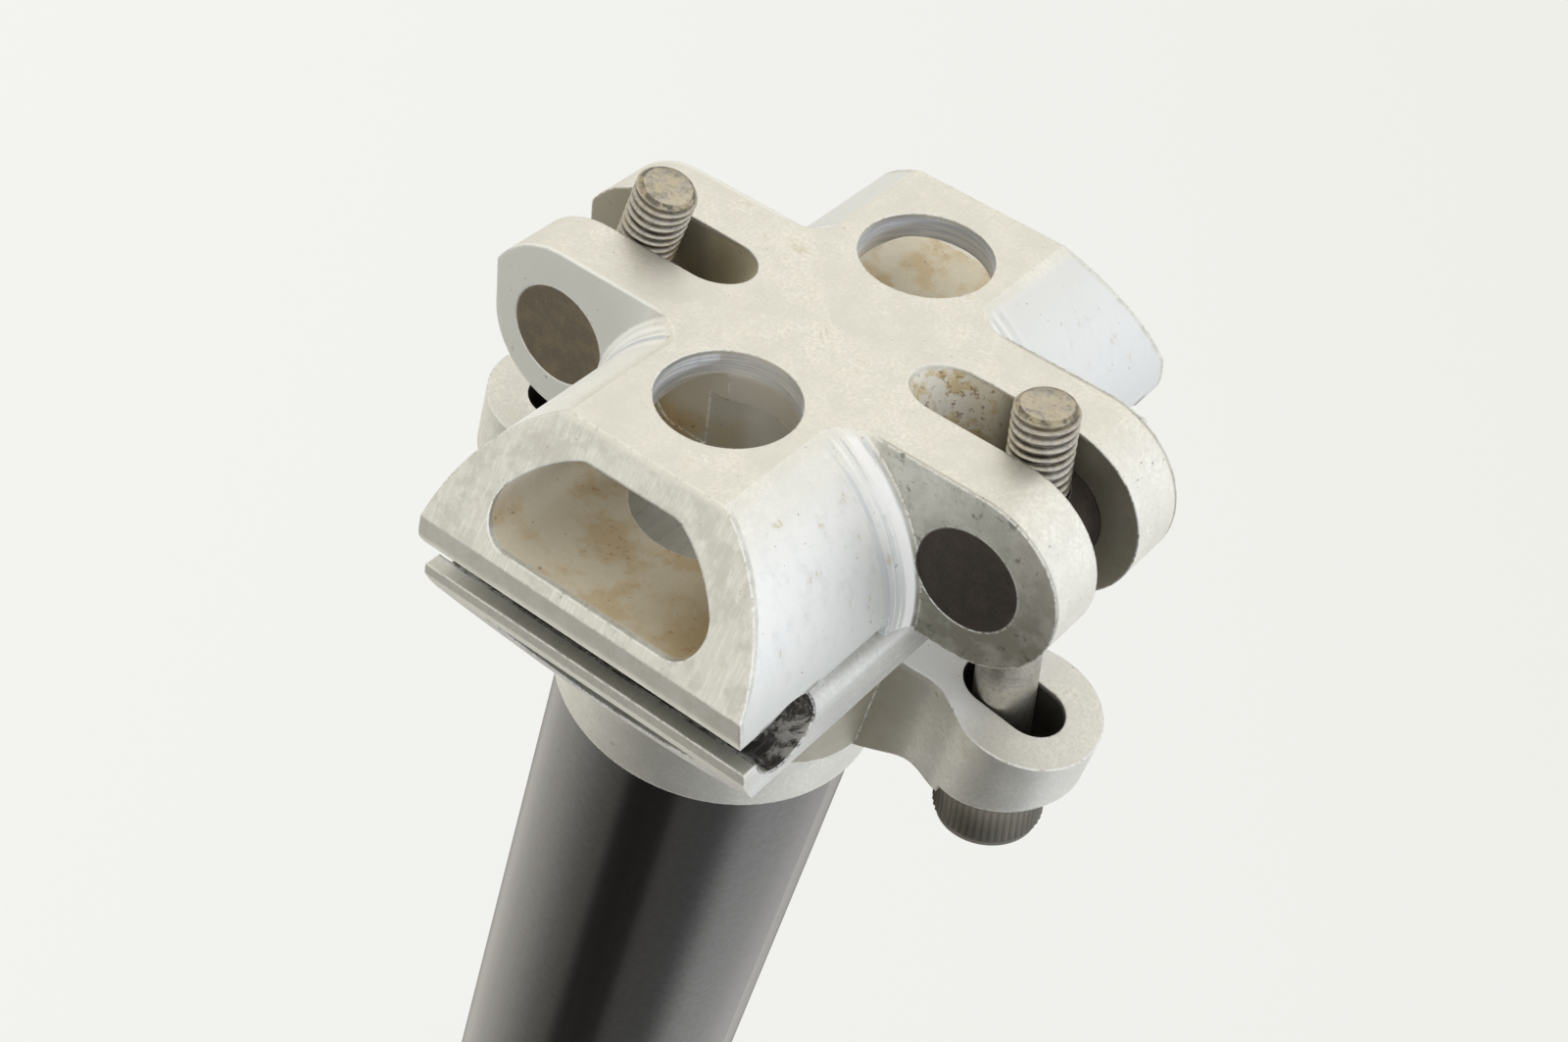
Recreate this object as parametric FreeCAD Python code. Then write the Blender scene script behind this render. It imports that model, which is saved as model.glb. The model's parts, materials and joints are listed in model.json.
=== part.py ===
"""Two-bolt bicycle seatpost: tube, head, rocking rail clamp, barrel nuts, bolts.

Frame: Z runs up the tube, X points to the rear of the bicycle along the line
of the bolts, Y is across. The origin is the centre of the tube's lower end.
All lengths in mm, all angles in degrees.
"""
import FreeCAD
import Part
import math
import os

V = FreeCAD.Vector
REAR, FRONT = 1, -1       # the two ends of the clamp, as signs of X
FAR = 60.0                # reach of a cutter that passes right through

# Post and collar
POST_R = 13.6             # 27.2 mm post
POST_WALL = 2.4
POST_TOP = 323.3          # where the tube meets the collar
COLLAR_R = 14.5
SPIGOT_LENGTH = 32.0
SPIGOT_CLEARANCE = 0.0    # the spigot is a press fit in the tube

# Tilt axis of the clamp, and how far the clamp leans to the front
PIVOT_Z = 365.0
TILT = 8.5

# Rocking joint between the lower cradle and the head
ROCKER_R = 24.9
SEAT_CLEARANCE = 0.1

# Clamp blank: a round bar with a flat top, in the clamp's own frame, whose
# origin is on the tilt axis in the plane of the flat top
BAR_R = 15.15
BAR_AXIS_Z = -13.45
TOP_HALF_LENGTH = 21.3
END_SLOPE = 31.6          # lean of the end faces from upright
LIP_HEIGHT = 3.97         # upright part under the end faces
UPPER_BOTTOM_Z = -14.7
EDGE_R = 2.0              # rounded long edges under the upper clamp
LIP_R = 2.5               # rounded lower edge of the upper clamp's ends

# Lightening pockets and drilled holes
POCKET_R = 11.7
POCKET_AXIS_Z = -13.1
POCKET_TOP_Z = -2.2
POCKET_FLOOR_Z = -9.9
POCKET_CORNER_R = 2.4
POCKET_BACK_Y = 7.8
HOLE_R = 5.45
HOLE_Y = 12.25
FLOOR_HOLE_R = 6.5        # bored from below, through the pocket's floor

# Lugs that carry the barrel nuts
NUT_X = 19.45
NUT_Z = -7.66
NUT_R = 4.3
NUT_CLEARANCE = 0.03
LUG_R = 7.5               # its round end runs into the flat top
LUG_HALF_WIDTH = 8.2
FRONT_LUG_END = 25.9      # the front lug is faced off here
FRONT_LUG_R = 6.9         # and rounded smaller below
LUG_CORNER_R = 3.0
LUG_STEP = 0.7            # the corner's curve stops short of the lug by this
ARCH_R = 2.9              # relief under the lug, round the cradle's edge
SLOT_HALF_WIDTH = 2.85
SLOT_INNER_X = 7.6        # inner end of the slot in the flat top
SLOT_RAMP = 35.0          # from there it is milled down and out at this angle
SLOT_WALL_X = 14.6

# Lower cradle
CRADLE_TOP_Z = UPPER_BOTTOM_Z    # with no rails the jaws rest on each other
CRADLE_EDGE_X = 15.3
CRADLE_EDGE_R = 2.4       # its long edges are rounded like a bar
LOWER_LIP_Z = -16.4
LOWER_LIP_Y = 27.0
LOWER_EDGE_Z = -18.6
RAIL_R = 3.5
RAIL_Y = 22.2
RAIL_Z = -15.3
UPPER_RAIL_Z = -16.2      # axis of the upper grooves, jaws closed
LOW_POCKET_R = 14.7       # crescent pockets in the cradle's ends
LOW_POCKET_AXIS_Z = -8.9
LOW_POCKET_TOP_Z = -19.2
LOW_POCKET_BACK_Y = 18.0

# Bolts, M5
BOLT_R = 2.5
BOLT_CLEARANCE = 0.05
PITCH = 0.8               # one turn moves a bolt this far
THREAD_DEPTH = 0.42
BOLT_HEAD_R = 4.5
BOLT_HEAD_HEIGHT = 5.0
HEX_ACROSS = 4.0
HEX_DEPTH = 2.6
WASHER_R = 4.5
WASHER_THICK = 1.6
WASHER_GAP = 0.03
REAR_SPOT_R = 5.6         # clear of the washer over the whole tilt
FRONT_SPOT_R = 6.9
REAR_TIP_Z = 3.4          # how far the ends stand above the clamp
FRONT_TIP_Z = 4.0
REAR_BOLT_LEAN = 12.6     # outward lean from the tube
FRONT_BOLT_LEAN = 6.9

# Head: two ears, each with a slot for its bolt
EAR_R = 6.2
EAR_SLOT_HALF = 2.65
REAR_SLOT = (23.1, 26.8)     # centres of the slot's round ends
FRONT_SLOT = (17.7, 22.2)
REAR_EAR_X = 26.2
REAR_EAR_TOP = -20.9
FRONT_EAR_X = 22.1
FRONT_EAR_TOP = -26.0
EAR_THICK = 6.9
REAR_EAR_SLOPE = 15.0     # slope of the faces under the ears
FRONT_EAR_SLOPE = 4.8
REAR_NECK = 3.9           # half width where the ear leaves the body
FRONT_NECK = 5.0
EAR_CROWN_R = 40.0
SEAT_GAP = 0.2            # the loop of joints is open here
BODY_HALF_WIDTH = 14.8
BODY_CORNER_R = 8.0
REAR_HORN_X = 15.8
FRONT_HORN_X = 13.8
SHOULDER_Z = -34.8        # here the body widens from the collar
WEB_X = 17.9              # the body's web to the rear ear ends here


def box(x0, x1, y0, y1, z0, z1):
    return Part.makeBox(x1 - x0, y1 - y0, z1 - z0, V(x0, y0, z0))


def cyl_y(r, x, z, y0, y1):
    return Part.makeCylinder(r, y1 - y0, V(x, y0, z), V(0, 1, 0))


def cyl_z(r, x, y, z0, z1):
    return Part.makeCylinder(r, z1 - z0, V(x, y, z0), V(0, 0, 1))


def prism_x(points, x0, x1):
    """Solid from a closed outline of (y, z) points, run along X."""
    wire = Part.makePolygon([V(x0, y, z) for y, z in points + points[:1]])
    return Part.Face(wire).extrude(V(x1 - x0, 0, 0))


def prism_y(points, y0, y1):
    """Solid from a closed outline of (x, z) points, run along Y."""
    wire = Part.makePolygon([V(x, y0, z) for x, z in points + points[:1]])
    return Part.Face(wire).extrude(V(0, y1 - y0, 0))


def both_sides(make):
    """Join a shape with its mirror image in the plane y = 0."""
    shape = make()
    return shape.fuse(shape.mirror(V(0, 0, 0), V(0, 1, 0)))


def smooth(points, start, end):
    """Smooth curve through points, with its directions at both ends."""
    curve = Part.BSplineCurve()
    curve.interpolate(Points=points, InitialTangent=start, FinalTangent=end)
    return curve.toShape()


def mirrored(edge):
    return edge.mirror(V(0, 0, 0), V(0, 1, 0))


def closed_face(curves, *straight):
    """Face inside some curves and the straight lines through the points."""
    edges = list(curves)
    for points in straight:
        edges += Part.makePolygon(points).Edges
    return Part.Face(Part.Wire(Part.sortEdges(edges)[0]))


def fillet(shape, radius, wanted):
    edges = [e for e in shape.Edges if wanted(e)]
    return shape.makeFillet(radius, edges) if edges else shape


def middle(edge):
    return edge.valueAt((edge.FirstParameter + edge.LastParameter) / 2)


def lean(degrees):
    """Unit vector that points down and outward by this angle from -Z."""
    a = math.radians(degrees)
    return V(math.sin(a), 0, -math.cos(a))


END_TAN = math.tan(math.radians(END_SLOPE))
WIDEST_Z = UPPER_BOTTOM_Z + LIP_HEIGHT
WIDEST_HALF_LENGTH = TOP_HALF_LENGTH - WIDEST_Z * END_TAN


# Clamp frame to part frame
CLAMP = FreeCAD.Placement(V(0, 0, PIVOT_Z),
                          FreeCAD.Rotation(V(0, 1, 0), -TILT))


def placed(shape):
    shape = shape.copy()
    shape.Placement = CLAMP.multiply(shape.Placement)
    return shape


def pocket_solid():
    """D-shaped pocket, cut in from the -Y end, and its round holes."""
    d = cyl_y(POCKET_R, 0, POCKET_AXIS_Z, -FAR, -POCKET_BACK_Y)
    d = d.common(box(-FAR, FAR, -FAR, -POCKET_BACK_Y,
                     POCKET_FLOOR_Z, POCKET_TOP_Z))
    d = fillet(d, POCKET_CORNER_R,
               lambda e: abs(middle(e).y + (FAR + POCKET_BACK_Y) / 2) < 1)
    d = d.fuse(cyl_z(HOLE_R, 0, -HOLE_Y, -FAR / 2, FAR / 2))
    return d.fuse(cyl_z(FLOOR_HOLE_R, 0, -HOLE_Y, -FAR / 2,
                        POCKET_TOP_Z - POCKET_CORNER_R - 0.1))


def corner_ring():
    """Rounds the inside corner where an arm meets the side of a lug."""
    r = LUG_CORNER_R
    y = LUG_HALF_WIDTH + r - LUG_STEP      # the curve leaves the arm here
    z = BAR_AXIS_Z
    lift = r - math.sqrt(r * r - (r - LUG_STEP) ** 2)
    end = V(BAR_R + lift, LUG_HALF_WIDTH, z)
    start = V(BAR_R, y, z)
    centre = V(BAR_R + r, y, z)
    out = (start + end) / 2 - centre
    out.normalize()
    arc = Part.Arc(start, centre + out * r, end).toShape()
    face = closed_face([arc], [end, V(end.x, LUG_HALF_WIDTH - 1, z),
                               V(BAR_R - 1, LUG_HALF_WIDTH - 1, z),
                               V(BAR_R - 1, y, z), start])
    return face.revolve(V(0, 0, z), V(0, 1, 0), 360)


def slot_solid(side):
    """Slot for a bolt: open to the end, with a ramp at its inner end."""
    w = SLOT_HALF_WIDTH
    a = math.radians(SLOT_RAMP)
    out = V(side * math.sin(a), 0, -math.cos(a))      # down the ramp
    # the ramp's cutter leaves the flat top at the slot's inner end
    axis_x = side * (SLOT_INNER_X + w / math.cos(a))
    at = V(axis_x, 0, 0)
    ramp = Part.makeCylinder(w, 2 * FAR, at - out * FAR, out)
    steep = prism_y([(axis_x - out.x * FAR, -out.z * FAR),
                     (axis_x + out.x * FAR, out.z * FAR),
                     (side * 2 * FAR, out.z * FAR),
                     (side * 2 * FAR, -out.z * FAR)], -w, w)
    # lower down the slot's end wall is upright
    x0, x1 = sorted((side * SLOT_WALL_X, side * 2 * FAR))
    wall = box(x0, x1, -w, w, -FAR, FAR)
    return ramp.fuse(steep).fuse(wall)


def make_upper_clamp():
    length = 2 * WIDEST_HALF_LENGTH
    arms = cyl_y(BAR_R, 0, BAR_AXIS_Z, -WIDEST_HALF_LENGTH,
                 WIDEST_HALF_LENGTH)
    arms = arms.common(box(-FAR, FAR, -length, length, UPPER_BOTTOM_Z, 0))
    arms = fillet(arms, EDGE_R, lambda e: abs(middle(e).y) < 1
                  and middle(e).z < UPPER_BOTTOM_Z + 1
                  and abs(middle(e).x) > 5)
    ends = prism_x([(-TOP_HALF_LENGTH, 1),
                    (-TOP_HALF_LENGTH, 0),
                    (-WIDEST_HALF_LENGTH, WIDEST_Z),
                    (-WIDEST_HALF_LENGTH, UPPER_BOTTOM_Z - 1),
                    (WIDEST_HALF_LENGTH, UPPER_BOTTOM_Z - 1),
                    (WIDEST_HALF_LENGTH, WIDEST_Z),
                    (TOP_HALF_LENGTH, 0),
                    (TOP_HALF_LENGTH, 1)], -FAR, FAR)
    ends = ends.common(box(-FAR, FAR, -FAR, FAR, UPPER_BOTTOM_Z, 1))
    ends = fillet(ends, LIP_R, lambda e: middle(e).z < UPPER_BOTTOM_Z + 0.1
                  and abs(middle(e).x) < 1)
    arms = arms.common(ends)

    wide = LUG_HALF_WIDTH
    lug = box(-NUT_X, NUT_X, -wide, wide, -2 * LUG_R, 0)
    lug = lug.fuse(cyl_y(LUG_R, NUT_X, -LUG_R, -wide, wide))
    front = cyl_y(LUG_R, -NUT_X, -LUG_R, -wide, wide)
    keep_x = FRONT_LUG_R - FRONT_LUG_END
    keep = cyl_y(FRONT_LUG_R, keep_x, -LUG_R - 0.4, -wide, wide)
    keep = keep.fuse(box(-FRONT_LUG_END, 0, -wide, wide, -LUG_R - 0.4, 1))
    keep = keep.fuse(box(keep_x, 0, -wide, wide, -FAR, 1))
    lug = lug.fuse(front.common(keep))
    x = BAR_R + LUG_CORNER_R - 2
    lug = lug.cut(box(-x, x, -FAR, FAR, -FAR, UPPER_BOTTOM_Z))
    body = arms.fuse(lug)
    body = body.fuse(both_sides(corner_ring)
                     .common(box(-FAR, FAR, -FAR, FAR, UPPER_BOTTOM_Z, 0)))

    for side in (FRONT, REAR):
        body = body.cut(cyl_y(NUT_R + NUT_CLEARANCE, side * NUT_X, NUT_Z,
                              -FAR, FAR))
        body = body.cut(slot_solid(side))
        reach = LUG_HALF_WIDTH + LUG_CORNER_R
        arch = cyl_y(ARCH_R, side * (CRADLE_EDGE_X - CRADLE_EDGE_R),
                     CRADLE_TOP_Z - CRADLE_EDGE_R, -reach, reach)
        body = body.cut(arch)
    body = body.cut(both_sides(pocket_solid))
    body = body.cut(both_sides(lambda: rail_groove(UPPER_RAIL_Z)))
    return body.removeSplitter()


def rail_groove(z):
    return Part.makeCylinder(RAIL_R, 2 * FAR, V(-FAR, -RAIL_Y, z), V(1, 0, 0))


def make_lower_cradle():
    blank = cyl_y(ROCKER_R, 0, 0, -FAR, FAR)
    bar = box(-CRADLE_EDGE_X, CRADLE_EDGE_X, -FAR, FAR, -FAR, CRADLE_TOP_Z)
    bar = fillet(bar, CRADLE_EDGE_R, lambda e: abs(middle(e).y) < 1
                 and middle(e).z > CRADLE_TOP_Z - 1)
    y_bottom = LOWER_LIP_Y - 0.6 - END_TAN * (LOWER_EDGE_Z + ROCKER_R + 1)
    ends = prism_x([(-RAIL_Y, CRADLE_TOP_Z + 1),
                    (-RAIL_Y, LOWER_LIP_Z),
                    (-LOWER_LIP_Y, LOWER_LIP_Z),
                    (-LOWER_LIP_Y, LOWER_LIP_Z - 1.0),
                    (-LOWER_LIP_Y + 0.6, LOWER_EDGE_Z),
                    (-y_bottom, -ROCKER_R - 1),
                    (y_bottom, -ROCKER_R - 1),
                    (LOWER_LIP_Y - 0.6, LOWER_EDGE_Z),
                    (LOWER_LIP_Y, LOWER_LIP_Z - 1.0),
                    (LOWER_LIP_Y, LOWER_LIP_Z),
                    (RAIL_Y, LOWER_LIP_Z),
                    (RAIL_Y, CRADLE_TOP_Z + 1)], -FAR, FAR)
    body = blank.common(bar).common(ends)
    body = body.cut(both_sides(lambda: rail_groove(RAIL_Z)))
    pocket = cyl_y(LOW_POCKET_R, 0, LOW_POCKET_AXIS_Z, -FAR,
                   -LOW_POCKET_BACK_Y)
    pocket = pocket.common(box(-FAR, FAR, -FAR, 0, -FAR, LOW_POCKET_TOP_Z))
    body = body.cut(both_sides(lambda: pocket))
    return body.removeSplitter()


def nut_centre(side):
    return CLAMP.multVec(V(side * NUT_X, 0, NUT_Z))


def bolt_down(side):
    """Direction of a bolt, from its tip to its head."""
    d = lean(REAR_BOLT_LEAN if side == REAR else FRONT_BOLT_LEAN)
    return V(side * d.x, 0, d.z)


def ear_centre(side):
    if side == REAR:
        return V(REAR_EAR_X, 0, PIVOT_Z + REAR_EAR_TOP)
    return V(-FRONT_EAR_X, 0, PIVOT_Z + FRONT_EAR_TOP)


def crown(side):
    """Axis point (x, z) of the crowned face under an ear."""
    slope = math.radians(REAR_EAR_SLOPE if side == REAR else FRONT_EAR_SLOPE)
    c = ear_centre(side)
    x = c.x
    z = c.z - EAR_THICK
    return (x - side * EAR_CROWN_R * math.sin(slope),
            z + EAR_CROWN_R * math.cos(slope))


def seat_distance(side):
    """From the nut's axis to the underside of the bolt's head."""
    cx, cz = crown(side)
    n = nut_centre(side)
    d = bolt_down(side)
    # the head's flat face touches the crown where the crown's normal is d
    return (V(cx, 0, cz) - n).dot(d) + EAR_CROWN_R + SEAT_GAP


def ear_plan(side):
    """An ear seen from above, run down from its top face."""
    c = ear_centre(side)
    neck = REAR_NECK if side == REAR else FRONT_NECK
    start = V(c.x - side * (EAR_R + 10), -neck - 0.3, c.z)
    end = V(c.x - side * EAR_R / 2, -EAR_R * math.sqrt(0.75), c.z)
    flank = smooth([start, V(c.x - side * (EAR_R + 2), -neck - 0.2, c.z),
                    V(c.x - side * EAR_R, -neck, c.z), end],
                   V(side, 0, 0), V(side * math.sqrt(0.75), -0.5, 0))
    face = closed_face([flank, mirrored(flank)],
                       [start, V(start.x, -start.y, c.z)],
                       [end, V(end.x, -end.y, c.z)])
    plan = face.extrude(V(0, 0, -FAR / 2))
    return plan.fuse(cyl_z(EAR_R, c.x, 0, c.z - FAR / 2, c.z))


def make_ear(side):
    c = ear_centre(side)
    cx, cz = crown(side)
    plan = ear_plan(side)
    ear = plan.common(cyl_y(EAR_CROWN_R, cx, cz, -EAR_R, EAR_R))
    # the rib under the ear falls away to the collar
    z = c.z - EAR_THICK
    start = V(c.x - side * 2.0, -EAR_R, z - 1.2)
    end = V(c.x - side * 12.0, -EAR_R, z - 6.0)
    under = smooth([start, V(c.x - side * 6.9, -EAR_R, z - 3.3), end],
                   V(-side, 0, -0.38), V(-side, 0, -0.6))
    rib = closed_face([under], [end, V(side * 8, -EAR_R, z - 9.0),
                                V(side * 8, -EAR_R, c.z),
                                V(start.x, -EAR_R, c.z), start])
    rib = rib.extrude(V(0, 2 * EAR_R, 0))
    return ear.fuse(plan.common(rib))


def make_web():
    """Joins the body to the rear ear with a hollow curve on each side."""
    z = PIVOT_Z + SHOULDER_Z
    start = V(REAR_HORN_X, -BODY_HALF_WIDTH + BODY_CORNER_R - 0.1, z)
    end = V(WEB_X, -REAR_NECK - 0.2, z)
    hollow = Part.Arc(start, V(REAR_HORN_X + 0.5, -REAR_NECK - 1.1, z),
                      end).toShape()
    face = closed_face([hollow, mirrored(hollow)],
                       [start, V(start.x, -start.y, z)],
                       [end, V(end.x, -end.y, z)])
    web = face.extrude(V(0, 0, -SHOULDER_Z))
    # its top slopes from the rocking face down to the ear
    top = math.sqrt(ROCKER_R ** 2 - REAR_HORN_X ** 2)
    return web.common(prism_y([(0, z), (WEB_X, z),
                               (WEB_X, PIVOT_Z + REAR_EAR_TOP),
                               (REAR_HORN_X, PIVOT_Z - top),
                               (0, PIVOT_Z)], -FAR, FAR))


def make_head():
    floor = PIVOT_Z + SHOULDER_Z
    body = cyl_z(COLLAR_R, 0, 0, POST_TOP, PIVOT_Z - 24)
    block = box(-FRONT_HORN_X, REAR_HORN_X, -BODY_HALF_WIDTH,
                BODY_HALF_WIDTH, floor, PIVOT_Z)
    block = fillet(block, BODY_CORNER_R,
                   lambda e: abs(middle(e).z - (floor + PIVOT_Z) / 2) < 1)
    # the block widens from the collar
    cone = Part.makeCone(COLLAR_R, COLLAR_R + 12, 14, V(0, 0, floor))
    cone = cone.fuse(cyl_z(COLLAR_R + 12, 0, 0, floor + 14, PIVOT_Z))
    body = body.fuse(block.fuse(make_web()).common(cone))
    for side in (FRONT, REAR):
        body = body.fuse(make_ear(side))
    for side, ends, spot_r in ((REAR, REAR_SLOT, REAR_SPOT_R),
                               (FRONT, FRONT_SLOT, FRONT_SPOT_R)):
        # a round spot face gives the washer room below the crowned face
        d = bolt_down(side)
        at = nut_centre(side) + d * (seat_distance(side) - 0.9 * SEAT_GAP)
        body = body.cut(Part.makeCylinder(spot_r, FAR, at, d))
        z = ear_centre(side).z
        xs = sorted(side * x for x in ends)
        slot = box(xs[0], xs[1], -EAR_SLOT_HALF, EAR_SLOT_HALF,
                   z - 20, z + 12)
        for x in xs:
            slot = slot.fuse(cyl_z(EAR_SLOT_HALF, x, 0, z - 20, z + 12))
        body = body.cut(slot)
    body = body.cut(cyl_y(ROCKER_R + SEAT_CLEARANCE, 0, PIVOT_Z, -FAR, FAR))
    spigot = cyl_z(POST_R - POST_WALL - SPIGOT_CLEARANCE, 0, 0,
                   POST_TOP - SPIGOT_LENGTH, POST_TOP)
    body = body.fuse(spigot)
    body = body.cut(cyl_z(POST_R - POST_WALL - 3.0, 0, 0,
                          POST_TOP - SPIGOT_LENGTH - 1, POST_TOP + 6))
    return body.removeSplitter()


def make_tube():
    tube = cyl_z(POST_R, 0, 0, 0, POST_TOP)
    tube = tube.cut(cyl_z(POST_R - POST_WALL, 0, 0, -1, POST_TOP + 1))
    return tube


def make_nut(side):
    n = nut_centre(side)
    d = bolt_down(side)
    nut = cyl_y(NUT_R, n.x, n.z, -LUG_HALF_WIDTH, LUG_HALF_WIDTH)
    hole = Part.makeCylinder(BOLT_R + BOLT_CLEARANCE, FAR, n - d * FAR / 2, d)
    return nut.cut(hole)


def make_washer(side):
    n = nut_centre(side)
    d = bolt_down(side)
    at = n + d * seat_distance(side)
    washer = Part.makeCylinder(WASHER_R, WASHER_THICK, at, d)
    return washer.cut(Part.makeCylinder(BOLT_R + BOLT_CLEARANCE, FAR, n, d))


def make_bolt(side):
    """M5 socket bolt, its shank as thick as the thread is over its crests."""
    n = nut_centre(side)
    d = bolt_down(side)
    tip_z = REAR_TIP_Z if side == REAR else FRONT_TIP_Z
    # the tip lies at this height over the clamp's flat top
    up = CLAMP.Rotation.multVec(V(0, 0, 1))
    top = V(0, 0, PIVOT_Z)
    above = (tip_z - (n - top).dot(up)) / (-(d.dot(up)))
    below = seat_distance(side) + WASHER_THICK + WASHER_GAP
    length = above + below
    # outline in (radius, distance from the tip)
    end = length + BOLT_HEAD_HEIGHT
    pts = [(0, 0), (BOLT_R - THREAD_DEPTH, 0), (BOLT_R, THREAD_DEPTH),
           (BOLT_R, length), (BOLT_HEAD_R, length),
           (BOLT_HEAD_R, end - 0.5), (BOLT_HEAD_R - 0.5, end), (0, end)]
    wire = Part.makePolygon([V(r, 0, -s) for r, s in pts + pts[:1]])
    bolt = Part.Face(wire).revolve(V(0, 0, 0), V(0, 0, 1), 360)
    corner = HEX_ACROSS / math.sqrt(3)
    hexagon = [V(corner * math.cos(math.radians(a)),
                 corner * math.sin(math.radians(a)), HEX_DEPTH - end)
               for a in range(0, 360, 60)]
    socket = Part.Face(Part.makePolygon(hexagon + hexagon[:1]))
    bolt = bolt.cut(socket.extrude(V(0, 0, -FAR)))
    bolt.Placement = FreeCAD.Placement(
        n - d * above, FreeCAD.Rotation(V(0, 0, -1), d))
    return bolt


parts = {
    "post_tube": make_tube(),
    "head": make_head(),
    "lower_cradle": placed(make_lower_cradle()),
    "upper_clamp": placed(make_upper_clamp()),
    "barrel_nut_rear": make_nut(REAR),
    "barrel_nut_front": make_nut(FRONT),
    "washer_rear": make_washer(REAR),
    "washer_front": make_washer(FRONT),
    "bolt_rear": make_bolt(REAR),
    "bolt_front": make_bolt(FRONT),
}

os.makedirs("parts", exist_ok=True)
for name, shape in parts.items():
    solids = shape.Solids
    print(name, "solids", len(solids), "valid", shape.isValid(),
          "volume %.0f" % shape.Volume)
    if len(solids) == 1:
        shape = solids[0]
    shape.exportStep("parts/%s.step" % name)
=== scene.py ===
# %% [markdown]
# # A used two-bolt seatpost
#
# The real thing is a black anodised tube with a silver head. A rocking clamp sits on the head,
# held by two bolts that screw into round nuts. The solids come ready made, so this file gives
# them their finishes, cuts the threads that the solids leave plain, and sets light and camera.

# %% Load the solids
import json
import math
from types import SimpleNamespace

import bpy
from mathutils import Matrix, Vector


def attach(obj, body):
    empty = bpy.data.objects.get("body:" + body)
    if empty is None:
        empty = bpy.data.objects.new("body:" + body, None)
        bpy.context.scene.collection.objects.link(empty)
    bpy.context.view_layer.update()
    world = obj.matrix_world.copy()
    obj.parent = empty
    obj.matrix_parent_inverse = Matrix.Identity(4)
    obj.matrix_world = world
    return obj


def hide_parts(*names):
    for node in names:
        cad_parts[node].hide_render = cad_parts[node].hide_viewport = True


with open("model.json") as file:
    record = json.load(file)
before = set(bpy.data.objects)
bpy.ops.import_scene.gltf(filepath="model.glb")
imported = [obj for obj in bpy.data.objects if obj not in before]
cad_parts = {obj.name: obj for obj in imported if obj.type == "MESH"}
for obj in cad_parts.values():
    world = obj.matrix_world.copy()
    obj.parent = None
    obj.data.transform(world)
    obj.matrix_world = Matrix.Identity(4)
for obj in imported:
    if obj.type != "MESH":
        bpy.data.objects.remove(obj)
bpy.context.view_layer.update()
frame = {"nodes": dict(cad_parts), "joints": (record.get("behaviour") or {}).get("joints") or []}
solids = frame["nodes"]
print("solids:", ", ".join(sorted(solids)))

# %% [markdown]
# ## Named places
#
# Stains and scratches have to land on the right faces. They could be painted on an unwrapped mesh,
# but each face would then have to be found by hand. Here every mark is found from the sizes of the
# part, in millimetres from the tilt axis. Those on the clamp use the clamp's own axes, which lean
# to the front: the tilt axis lies in the plane of the flat top.

# %% Places on the clamp
MM = 0.001
TILT = math.radians(8.5)                  # the clamp's lean to the front
PIVOT = Vector((0, 0, 365))               # the tilt axis, seen from the tube's lower end
BAR_Z = -13.45                            # axis of the clamp's round bar
SKIN_R = 13.1                             # between the pockets and the bar's own surface
TOP_HALF_LENGTH = 21.3                    # flat top, from the middle to a sloped end
END_TAN = math.tan(math.radians(31.6))    # slope of the ends
LIP_TOP_Z = -10.73                        # where a sloped end meets the lip below it
LUG_SIDE_Y = 8.2                          # side faces of the lugs that carry the nuts
SLOT_HALF, SLOT_END_X = 2.85, 7.6         # bolt slots: half width and inner end
HOLE_Y, HOLE_R = 12.25, 5.45              # round holes in the flat top
POCKET_ROOF, POCKET_FLOOR = -2.2, -9.9    # hollows that open in the sloped ends
RAIL_Y, RAIL_Z = 22.2, -15.3              # centre lines of the rail grooves
print("flat top", 2 * TOP_HALF_LENGTH, "mm long, rail grooves", 2 * RAIL_Y, "mm apart")

# %% [markdown]
# ## Smooth surfaces
#
# The tube, the bar and the bores are round on the real post, but the solids arrive as flat facets.
# Subdividing would round them and melt the machined edges too. Smooth shading with a sharp edge
# wherever two faces meet at a clear angle gives the round faces back and leaves the edges alone.

# %% Shade by angle
def shade(solid, angle=28):
    mesh = solid.data
    mesh.shade_smooth()
    mesh.set_sharp_from_angle(angle=math.radians(angle))


for solid in solids.values():
    shade(solid)
print("shaded", len(solids), "solids")

# %% [markdown]
# ## Writing shaders as expressions
#
# A finish is a handful of masks added and multiplied together. Placing each Math node by hand
# takes many lines and hides the idea. Wrapping a node's output in a small class lets the masks be
# written as sums and products, each of which adds its own Math node.

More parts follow.
